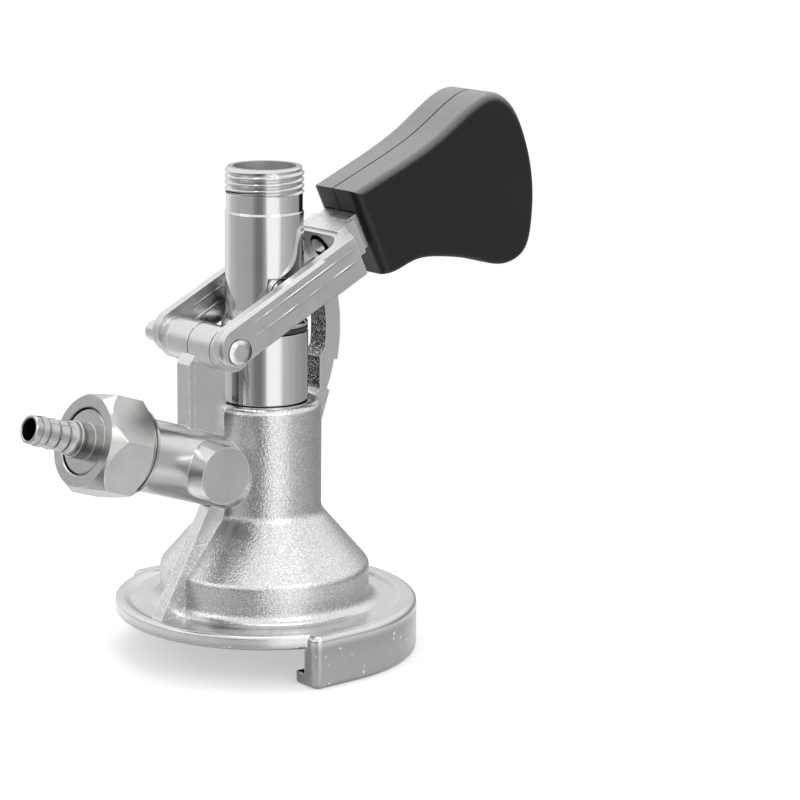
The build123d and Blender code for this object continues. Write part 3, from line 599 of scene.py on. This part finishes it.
def grip_plastic(finish, marks):
    """Black moulded plastic with a fine spark-eroded grain, a painted sheen on its upward faces and a painted
    shade line along the seam.
    """
    material, tree, shader = new_material("grip_plastic")
    colour_in = shader.inputs["Base Color"]
    coordinates = tree.nodes.new("ShaderNodeTexCoord")
    vector = coordinates.outputs["Object"]
    tone = spread(tree, grain(tree, vector, size=0.02), low=0, high=1)
    tree.links.new(tinted(tree, tuple(finish.grip_colour), tone, change=0.10), colour_in)
    # Painted sheen: faces that look up are painted paler, with a mottle
    upward = above(tree, split(tree, coordinates.outputs["Normal"])[2], edge=0.5, blur=0.35)
    mottle = spread(tree, grain(tree, vector, size=0.0006), low=0.75, high=1.0)
    overlaid(tree, colour_in, finish.top_sheen_colour, product(tree, upward, mottle))
    # Painted shade: a dark line along the seam between the shells
    seam = band(tree, split(tree, vector)[1], -marks.seam, marks.seam, blur=0.00008)
    overlaid(tree, colour_in, finish.seam_shade_colour, seam)
    rough = varied(tree, grain(tree, vector, size=0.008), middle=finish.grip_roughness, swing=0.1)
    tree.links.new(rough, shader.inputs["Roughness"])
    shader.inputs["Specular IOR Level"].default_value = finish.grip_shine
    normal = bump(tree, grain(tree, vector, size=0.00035), distance=0.000025)
    normal = bump(tree, grain(tree, vector, size=0.010, detail=0.0), distance=0.00025, normal=normal)
    tree.links.new(normal, shader.inputs["Normal"])
    return material


def moulded(name, base, roughness, size):
    """Plain moulded rubber or plastic with a faint mottle."""
    material, tree, shader = new_material(name)
    vector = place(tree)
    tone = spread(tree, grain(tree, vector, size * 8), low=0, high=1)
    tree.links.new(tinted(tree, tuple(base), tone, change=0.08), shader.inputs["Base Color"])
    rough = varied(tree, grain(tree, vector, size * 4), middle=roughness, swing=0.1)
    tree.links.new(rough, shader.inputs["Roughness"])
    tree.links.new(bump(tree, grain(tree, vector, size), distance=size * 0.08), shader.inputs["Normal"])
    return material


MAKERS = {
    "cast_steel": cast_steel,
    "forged_steel": forged_steel,
    "turned_steel": turned_steel,
    "nut_steel": nut_steel,
    "grip_plastic": grip_plastic,
    "spring_steel": lambda finish, marks: plain_metal(
        "wire_steel", finish.turned_colour, roughness=0.3, tone_size=0.004
    ),
    "brass_valve": lambda finish, marks: plain_metal(
        "brass", finish.brass_colour, roughness=0.28, tone_size=0.003
    ),
    "seal_rubber": lambda finish, marks: moulded(
        "rubber", finish.rubber_colour, roughness=0.55, size=0.0006
    ),
    "white_plastic": lambda finish, marks: moulded(
        "natural_plastic", finish.white_colour, roughness=0.42, size=0.0005
    ),
}
made_materials = {}


def material_for(slot):
    if slot not in made_materials:
        scene = bpy.context.scene
        made_materials[slot] = MAKERS[slot](scene.coupler_finish, scene.coupler_marks)
    return made_materials[slot]


def slot_of(name):
    for entry in frame["record"]["subparts"]:
        if entry["node"] == name:
            return entry["material_slot"]
    raise RuntimeError(f"no sub-part named {name}")


def body_of(name):
    for body, members in BEHAVIOUR["bodies"].items():
        if name in members:
            return body
    raise RuntimeError(f"no body holds {name}")


# ---------------------------------------------------------------- mesh tools


def finish_mesh(bm, name, slot, body, sharp=radians(32)):
    """Turns a bmesh into a finished piece that rides on a body."""
    bmesh.ops.remove_doubles(bm, verts=bm.verts, dist=1e-6)
    bmesh.ops.recalc_face_normals(bm, faces=bm.faces)
    for edge in bm.edges:
        edge.smooth = not (len(edge.link_faces) == 2 and edge.calc_face_angle() > sharp)
    for face in bm.faces:
        face.smooth = True
    mesh = bpy.data.meshes.new(name)
    bm.to_mesh(mesh)
    bm.free()
    piece = bpy.data.objects.new(name, mesh)
    bpy.context.scene.collection.objects.link(piece)
    mesh.materials.append(material_for(slot))
    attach(piece, body)
    return piece


def lathe(rings, place_at, steps):
    """A closed solid turned from (height, radius) rings, where a radius may be a function of the angle."""
    bm = bmesh.new()
    loops = []
    for height, radius in rings:
        loop = []
        for step in range(steps):
            angle = 2 * pi * step / steps
            reach = radius(angle) if callable(radius) else radius
            loop.append(bm.verts.new(place_at @ Vector((reach * cos(angle), reach * sin(angle), height))))
        loops.append(loop)
    for first, second in zip(loops, loops[1:] + loops[:1]):
        for step in range(steps):
            after = (step + 1) % steps
            bm.faces.new((first[step], first[after], second[after], second[step]))
    return bm


def inlet_place():
    """Frame of the inlet: its axis as Z, and Y as its first cross direction."""
    axis = Vector((-cos(INLET_ANGLE), 0, sin(INLET_ANGLE)))
    across = Vector((0, 1, 0))
    return Matrix.Translation(INLET_FOOT) @ Matrix((across, axis.cross(across), axis)).transposed().to_4x4()


def cad_copy(name):
    """A merged copy of a CAD node's mesh, with its flat faces joined up."""
    bm = bmesh.new()
    bm.from_mesh(frame["nodes"][name].data)
    bmesh.ops.remove_doubles(bm, verts=bm.verts, dist=2e-6)
    bmesh.ops.dissolve_limit(
        bm, angle_limit=radians(0.4), verts=bm.verts, edges=bm.edges, use_dissolve_boundaries=False
    )
    return bm


def cut_flat(bm, height, clear_outer=False, clear_inner=False):
    """Cuts the mesh by a level plane and clears what lies above (outer) or below (inner) it."""
    bmesh.ops.bisect_plane(
        bm,
        geom=list(bm.verts) + list(bm.edges) + list(bm.faces),
        dist=1e-7,
        plane_co=(0, 0, height),
        plane_no=(0, 0, 1),
        clear_outer=clear_outer,
        clear_inner=clear_inner,
    )


def soften(piece, width, angle=radians(32)):
    """Rounds the sharp edges, so that they catch the light."""
    modifier = piece.modifiers.new("edges", "BEVEL")
    modifier.width = width
    modifier.segments = 2
    modifier.limit_method = "ANGLE"
    modifier.angle_limit = angle
    modifier.use_clamp_overlap = True
    modifier.harden_normals = False
    normals = piece.modifiers.new("normals", "WEIGHTED_NORMAL")
    normals.keep_sharp = True


def dress(name, width):
    """Replaces a CAD node by a copy of itself with rounded edges and a finish."""
    piece = finish_mesh(cad_copy(name), f"{name}_finished", slot_of(name), body_of(name))
    soften(piece, width)
    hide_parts(name)


def recolour(*names):
    """Gives CAD nodes their finish and leaves their shapes alone."""
    for name in names:
        part = frame["nodes"][name]
        part.data.materials.clear()
        part.data.materials.append(material_for(slot_of(name)))


# ---------------------------------------------------------------- pieces


class PieceOperator:
    """What the operators share"""

    bl_options = {"REGISTER", "UNDO"}


class COUPLER_OT_casting(PieceOperator, Operator):
    """Dress the cast body"""

    bl_idname = "coupler.casting"
    bl_label = "Cast body"

    def execute(self, context):
        dress("body", context.scene.coupler_edges.casting)
        return {"FINISHED"}


class COUPLER_OT_probe(PieceOperator, Operator):
    """Dress the probe tube and cut its outlet thread"""

    bl_idname = "coupler.probe"
    bl_label = "Probe tube"

    def execute(self, context):
        low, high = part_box("probe_tube")
        top = high.z
        thread = context.scene.coupler_thread
        bm = cad_copy("probe_tube")
        cut_flat(bm, top - thread.turned_length, clear_outer=True)
        tube = finish_mesh(bm, "probe_tube_finished", "turned_steel", "probe")
        soften(tube, context.scene.coupler_edges.small)
        outlet = finish_mesh(self.threaded_end(thread, top), "outlet_thread", "turned_steel", "probe")
        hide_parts("probe_tube")
        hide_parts("probe_tube")
        return {"FINISHED"}

    def threaded_end(self, thread, top):
        """A screw thread between a bore and a flat top, spun from one column of ridges."""
        crest = thread.crest_radius
        root = crest - thread.depth
        base = top - thread.turned_length
        ridge = ((root, 0.0), (root, 0.16), (crest, 0.48), (crest, 0.66))
        turns = int(thread.turned_length / thread.pitch) + 3
        bm = bmesh.new()
        column = []
        for turn in range(turns):
            foot = base + (turn - 1.5) * thread.pitch
            for radius, share_of_pitch in ridge:
                column.append(bm.verts.new((radius, 0, foot + share_of_pitch * thread.pitch)))
        column.append(bm.verts.new((root, 0, base + (turns - 1.5) * thread.pitch)))
        edges = [bm.edges.new(pair) for pair in zip(column, column[1:])]
        bmesh.ops.spin(
            bm,
            geom=column + edges,
            cent=(0, 0, 0),
            axis=(0, 0, 1),
            dvec=(0, 0, thread.pitch / thread.steps),
            angle=2 * pi,
            steps=thread.steps,
            use_merge=False,
            use_duplicate=False,
        )
        bmesh.ops.remove_doubles(bm, verts=bm.verts, dist=1e-6)
        cut_flat(bm, base, clear_inner=True)
        cut_flat(bm, top, clear_outer=True)
        for height in (base, top):
            self.close_in(bm, height, thread.bore)
        bmesh.ops.bridge_loops(bm, edges=[edge for edge in bm.edges if edge.is_boundary])
        self.chamfer_crests(bm, thread, top)
        return bm

    def close_in(self, bm, height, bore):
        """Runs a flat face from the open rim at a height in to the bore."""
        rim = [
            edge for edge in bm.edges
            if edge.is_boundary and all(abs(vert.co.z - height) < 1e-6 for vert in edge.verts)
        ]
        for made in bmesh.ops.extrude_edge_only(bm, edges=rim)["geom"]:
            if isinstance(made, bmesh.types.BMVert):
                flat = Vector((made.co.x, made.co.y, 0)).normalized() * bore
                made.co = Vector((flat.x, flat.y, height))

    def chamfer_crests(self, bm, thread, top):
        """Slopes the last ridge in towards the mouth."""
        for vert in bm.verts:
            radius = Vector((vert.co.x, vert.co.y)).length
            drop = max(0.0, vert.co.z - (top - thread.lead)) * thread.lead_slope
            limit = thread.crest_radius - drop
            if radius > limit:
                vert.co.x *= limit / radius
                vert.co.y *= limit / radius


class COUPLER_OT_lever(PieceOperator, Operator):
    """Dress the lever, its pin and the latch"""

    bl_idname = "coupler.lever"
    bl_label = "Lever and latch"

    def execute(self, context):
        edges = context.scene.coupler_edges
        dress("lever_fork", edges.lever)
        dress("hinge_pin", edges.small)
        dress("latch_bolt", edges.small)
        recolour("latch_spring", "latch_cross_pin", "grip_carrier")
        return {"FINISHED"}


class COUPLER_OT_grip(PieceOperator, Operator):
    """Dress the handle's shells and screws"""

    bl_idname = "coupler.grip"
    bl_label = "Handle"

    def execute(self, context):
        for name in ("grip_shell_front", "grip_shell_back"):
            dress(name, context.scene.coupler_edges.small)
        recolour("grip_screws")
        return {"FINISHED"}


class COUPLER_OT_inlet(PieceOperator, Operator):
    """Dress the union nut, the hose tail and the gas valve"""

    bl_idname = "coupler.inlet"
    bl_label = "Gas inlet"

    def execute(self, context):
        nut = context.scene.coupler_nut
        tail_form = context.scene.coupler_tail
        sharp = radians(26)
        turned_nut = lathe(self.nut_rings(nut), inlet_place(), nut.steps)
        piece = finish_mesh(turned_nut, "nut_finished", "nut_steel", "coupler_body", sharp)
        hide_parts("union_nut")
        turned_tail = lathe(self.tail_rings(nut, tail_form), inlet_place(), tail_form.steps)
        tail = finish_mesh(turned_tail, "tail_finished", "nut_steel", "coupler_body", sharp)
        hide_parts("hose_tail")
        recolour("tail_washer", "gas_valve_body", "gas_valve_ring_seal", "gas_poppet", "gas_spring")
        return {"FINISHED"}

    def nut_rings(self, nut):
        """Collar with its groove, hexagon cut by a long chamfer in front, and the stepped bore."""
        turn = radians(nut.turn)
        flat = nut.across_flats / 2
        corner = flat / cos(pi / 6)
        start, end = nut.start, nut.start + nut.length

        def hexagon(cap):
            def reach(angle):
                off = (angle - turn) % (pi / 3) - pi / 6
                return min(flat / cos(off), cap)

            return reach

        back = start - nut.collar_length
        near = start - nut.groove_gap
        far = near - nut.groove_width
        floor = nut.collar - nut.groove_depth
        rings = [
            (back, nut.bore),
            (back, nut.collar - nut.edge),
            (back + nut.edge, nut.collar),
            (far - nut.groove_slope, nut.collar),
            (far, floor),
            (near, floor),
            (near + nut.groove_slope, nut.collar),
        ]
        back_rise = (corner - nut.collar) / nut.back_chamfer
        front_rise = (corner - nut.face) / nut.front_chamfer
        for step in range(nut.rings + 1):
            height = start + nut.length * step / nut.rings
            cap = min(nut.collar + (height - start) * back_rise, nut.face + (end - height) * front_rise)
            rings.append((height, hexagon(cap)))
        rings += [
            (end, nut.hole + nut.edge),
            (end - nut.edge, nut.hole),
            (end - nut.wall, nut.hole),
            (end - nut.wall, nut.bore),
        ]
        return rings

    def tail_rings(self, nut, tail):
        """Flange, disc in the nut's hole, polished hub, low barbs and a plain tip round a bore."""
        seat = nut.start + nut.length - nut.wall
        face = nut.start + nut.length - tail.set_back
        waist_start = face + tail.hub_length + tail.slope
        waist_end = waist_start + tail.waist_length
        rings = [
            (seat - tail.flange_thickness, tail.bore),
            (seat - tail.flange_thickness, tail.flange),
            (seat - tail.seat_edge, tail.flange),
            (seat, tail.disc),
            (face - tail.disc_edge, tail.disc),
            (face, tail.disc - tail.disc_edge),
            (face, tail.hub_foot),
            (face + tail.hub_rise, tail.hub),
            (face + tail.hub_length, tail.hub),
            (waist_start, tail.waist),
            (waist_end, tail.waist),
            (waist_end + tail.slope, tail.stem),
        ]
        for barb in range(tail.barbs):
            foot = face + tail.barb_start + barb * tail.barb_pitch
            rings += [(foot + along, tail.root + rise) for along, rise in BARB]
        rings += [(face + tail.tip_end + along, tail.tip + rise) for along, rise in TIP]
        return rings


class COUPLER_OT_seals(PieceOperator, Operator):
    """Dress the seals, the cage and the ball"""

    bl_idname = "coupler.seals"
    bl_label = "Seals and ball"

    def execute(self, context):
        recolour("body_seal", "neck_ring_seal", "neck_guide_ring", "probe_seal", "probe_stop_ring")
        recolour("ball_cage", "cage_retainer", "check_ball")
        return {"FINISHED"}


# ---------------------------------------------------------------- stage


class COUPLER_OT_stage(PieceOperator, Operator):
    """Build the floor, the lights and the camera"""

    bl_idname = "coupler.stage"
    bl_label = "Stage"

    def execute(self, context):
        stage = context.scene.coupler_stage
        low, high = CAD_BOUNDS
        self.floor(stage, Vector(low).z)
        self.world(stage)
        middle = (Vector(low) + Vector(high)) / 2
        self.lamp("key_light", middle, offset=(-0.05, -1.0, 0.75), size=0.55, power=stage.key_power)
        self.lamp("top_light", middle, offset=(0.15, 0.25, 1.15), size=0.8, power=stage.top_power)
        self.lamp("fill_light", middle, offset=(-1.05, 0.25, 0.5), size=0.6, power=stage.fill_power)
        self.camera(stage)
        context.scene.view_settings.view_transform = "Standard"
        return {"FINISHED"}

    def floor(self, stage, height):
        bm = bmesh.new()
        bmesh.ops.create_grid(bm, x_segments=8, y_segments=8, size=stage.floor_half)
        bmesh.ops.translate(bm, verts=bm.verts, vec=(0, 0, height))
        mesh = bpy.data.meshes.new("floor")
        bm.to_mesh(mesh)
        bm.free()
        floor = bpy.data.objects.new("floor", mesh)
        bpy.context.scene.collection.objects.link(floor)
        mesh.materials.append(self.floor_paint(stage))

    def floor_paint(self, stage):
        """Pale paint that keeps the shadow and fades out, sooner in what the metal shows."""
        material, tree, shader = new_material("floor_paint")
        shader.inputs["Base Color"].default_value = tuple(stage.floor_colour)
        shader.inputs["Roughness"].default_value = 0.9
        shader.inputs["Specular IOR Level"].default_value = 0.0
        path = tree.nodes.new("ShaderNodeLightPath")
        glow = node(tree, "ShaderNodeEmission", Strength=1.0)
        lit = tree.nodes.new("ShaderNodeMixShader")
        tree.links.new(product(tree, path.outputs["Is Camera Ray"], stage.floor_glow), lit.inputs["Fac"])
        tree.links.new(shader.outputs["BSDF"], lit.inputs[1])
        tree.links.new(glow.outputs["Emission"], lit.inputs[2])
        distance = vector_maths(tree, "LENGTH", place(tree))
        in_metal = path.outputs["Is Glossy Ray"]
        shrink = spread(tree, in_metal, low=1.0, high=stage.metal_shrink, start=0.0, stop=1.0)
        core = stage.floor_reach * stage.floor_core
        seen_distance = product(tree, distance, shrink)
        fade = spread(tree, seen_distance, low=0.0, high=1.0, start=core, stop=stage.floor_reach)
        clear = tree.nodes.new("ShaderNodeBsdfTransparent")
        faded = tree.nodes.new("ShaderNodeMixShader")
        tree.links.new(fade, faded.inputs["Fac"])
        tree.links.new(lit.outputs["Shader"], faded.inputs[1])
        tree.links.new(clear.outputs["BSDF"], faded.inputs[2])
        tree.links.new(faded.outputs["Shader"], tree.nodes["Material Output"].inputs["Surface"])
        return material

    def world(self, stage):
        """White to the eye; to the metal, pale walls with one darker stretch and one bright window."""
        world = bpy.data.worlds.new("studio")
        bpy.context.scene.world = world
        world.use_nodes = True
        tree = world.node_tree
        background = tree.nodes["Background"]
        x, y, z = split(tree, tree.nodes.new("ShaderNodeTexCoord").outputs["Generated"])
        turn = maths(tree, "ARCTAN2", x, product(tree, y, -1.0))
        walls = node(tree, "ShaderNodeValToRGB")
        self.fill_ramp(walls.color_ramp)
        tree.links.new(spread(tree, turn, low=0.0, high=1.0, start=-pi, stop=pi), walls.inputs["Fac"])
        sky = node(tree, "ShaderNodeMix", data_type="RGBA", B=(stage.sky_level,) * 3 + (1,))
        tree.links.new(walls.outputs["Color"], sky.inputs["A"])
        steepness = spread(tree, z, low=0.0, high=1.0, start=stage.sky_low, stop=stage.sky_high)
        tree.links.new(steepness, sky.inputs["Factor"])
        path = tree.nodes.new("ShaderNodeLightPath")
        seen = maths(tree, "MAXIMUM", path.outputs["Is Camera Ray"], path.outputs["Is Transmission Ray"])
        final = node(tree, "ShaderNodeMix", data_type="RGBA", B=(1, 1, 1, 1))
        tree.links.new(sky.outputs["Result"], final.inputs["A"])
        tree.links.new(seen, final.inputs["Factor"])
        tree.links.new(final.outputs["Result"], background.inputs["Color"])
        background.inputs["Strength"].default_value = 1.0

    def fill_ramp(self, ramp):
        """Lays the brightness of the walls round the ramp."""
        ramp.interpolation = "EASE"
        while len(ramp.elements) < len(WALLS):
            ramp.elements.new(0.5)
        for element, (degrees, brightness) in zip(ramp.elements, WALLS):
            element.position = (degrees + 180) / 360
            element.color = (brightness, brightness, brightness, 1)

    def lamp(self, name, target, offset, size, power):
        """A square light that looks at the target from an offset."""
        light = bpy.data.lights.new(name, "AREA")
        light.shape = "SQUARE"
        light.size = size
        light.energy = power
        lamp = bpy.data.objects.new(name, light)
        bpy.context.scene.collection.objects.link(lamp)
        place_at = target + Vector(offset)
        lamp.location = place_at
        lamp.rotation_euler = (target - place_at).to_track_quat("-Z", "Y").to_euler()

    def camera(self, stage):
        azimuth = radians(stage.camera_azimuth)
        pitch = radians(stage.camera_pitch)
        back = Vector((sin(azimuth) * cos(pitch), -cos(azimuth) * cos(pitch), sin(pitch)))
        right = Vector((cos(azimuth), sin(azimuth), 0))
        up = back.cross(right)
        turned = Matrix((right, up, back)).transposed().to_4x4()
        data = bpy.data.cameras.new("camera")
        data.lens = stage.lens
        data.sensor_width = 36
        data.shift_x = stage.shift_x
        data.shift_y = stage.shift_y
        data.clip_end = 20
        camera = bpy.data.objects.new("camera", data)
        bpy.context.scene.collection.objects.link(camera)
        camera.matrix_world = Matrix.Translation(stage.camera_place) @ turned
        bpy.context.scene.camera = camera


# ---------------------------------------------------------------- panel and run


class VIEW3D_PT_coupler(Panel):
    """Buttons for the coupler's pieces and its stage"""

    bl_label = "Keg coupler"
    bl_idname = "VIEW3D_PT_coupler"
    bl_space_type = "VIEW_3D"
    bl_region_type = "UI"
    bl_category = "Coupler"

    def draw(self, context):
        for operator in OPERATORS:
            self.layout.operator(operator.bl_idname)
        for settings in SETTINGS:
            group = getattr(context.scene, settings)
            for name in group.__annotations__:
                self.layout.prop(group, name)


OPERATORS = (
    COUPLER_OT_casting,
    COUPLER_OT_probe,
    COUPLER_OT_lever,
    COUPLER_OT_grip,
    COUPLER_OT_inlet,
    COUPLER_OT_seals,
    COUPLER_OT_stage,
)
SETTINGS = {
    "coupler_finish": CouplerFinish,
    "coupler_marks": CouplerMarks,
    "coupler_thread": CouplerThread,
    "coupler_nut": CouplerNut,
    "coupler_tail": CouplerTail,
    "coupler_edges": CouplerEdges,
    "coupler_stage": CouplerStage,
}


def register():
    for group in SETTINGS.values():
        bpy.utils.register_class(group)
    for operator in OPERATORS:
        bpy.utils.register_class(operator)
    bpy.utils.register_class(VIEW3D_PT_coupler)
    for name, group in SETTINGS.items():
        setattr(bpy.types.Scene, name, PointerProperty(type=group))


def unregister():
    for name in SETTINGS:
        delattr(bpy.types.Scene, name)
    bpy.utils.unregister_class(VIEW3D_PT_coupler)
    for operator in reversed(OPERATORS):
        bpy.utils.unregister_class(operator)
    for group in reversed(list(SETTINGS.values())):
        bpy.utils.unregister_class(group)


def main():
    register()
    bpy.ops.coupler.stage()
    bpy.ops.coupler.casting()
    bpy.ops.coupler.probe()
    bpy.ops.coupler.lever()
    bpy.ops.coupler.grip()
    bpy.ops.coupler.inlet()
    bpy.ops.coupler.seals()


if __name__ == "__main__":
    main()
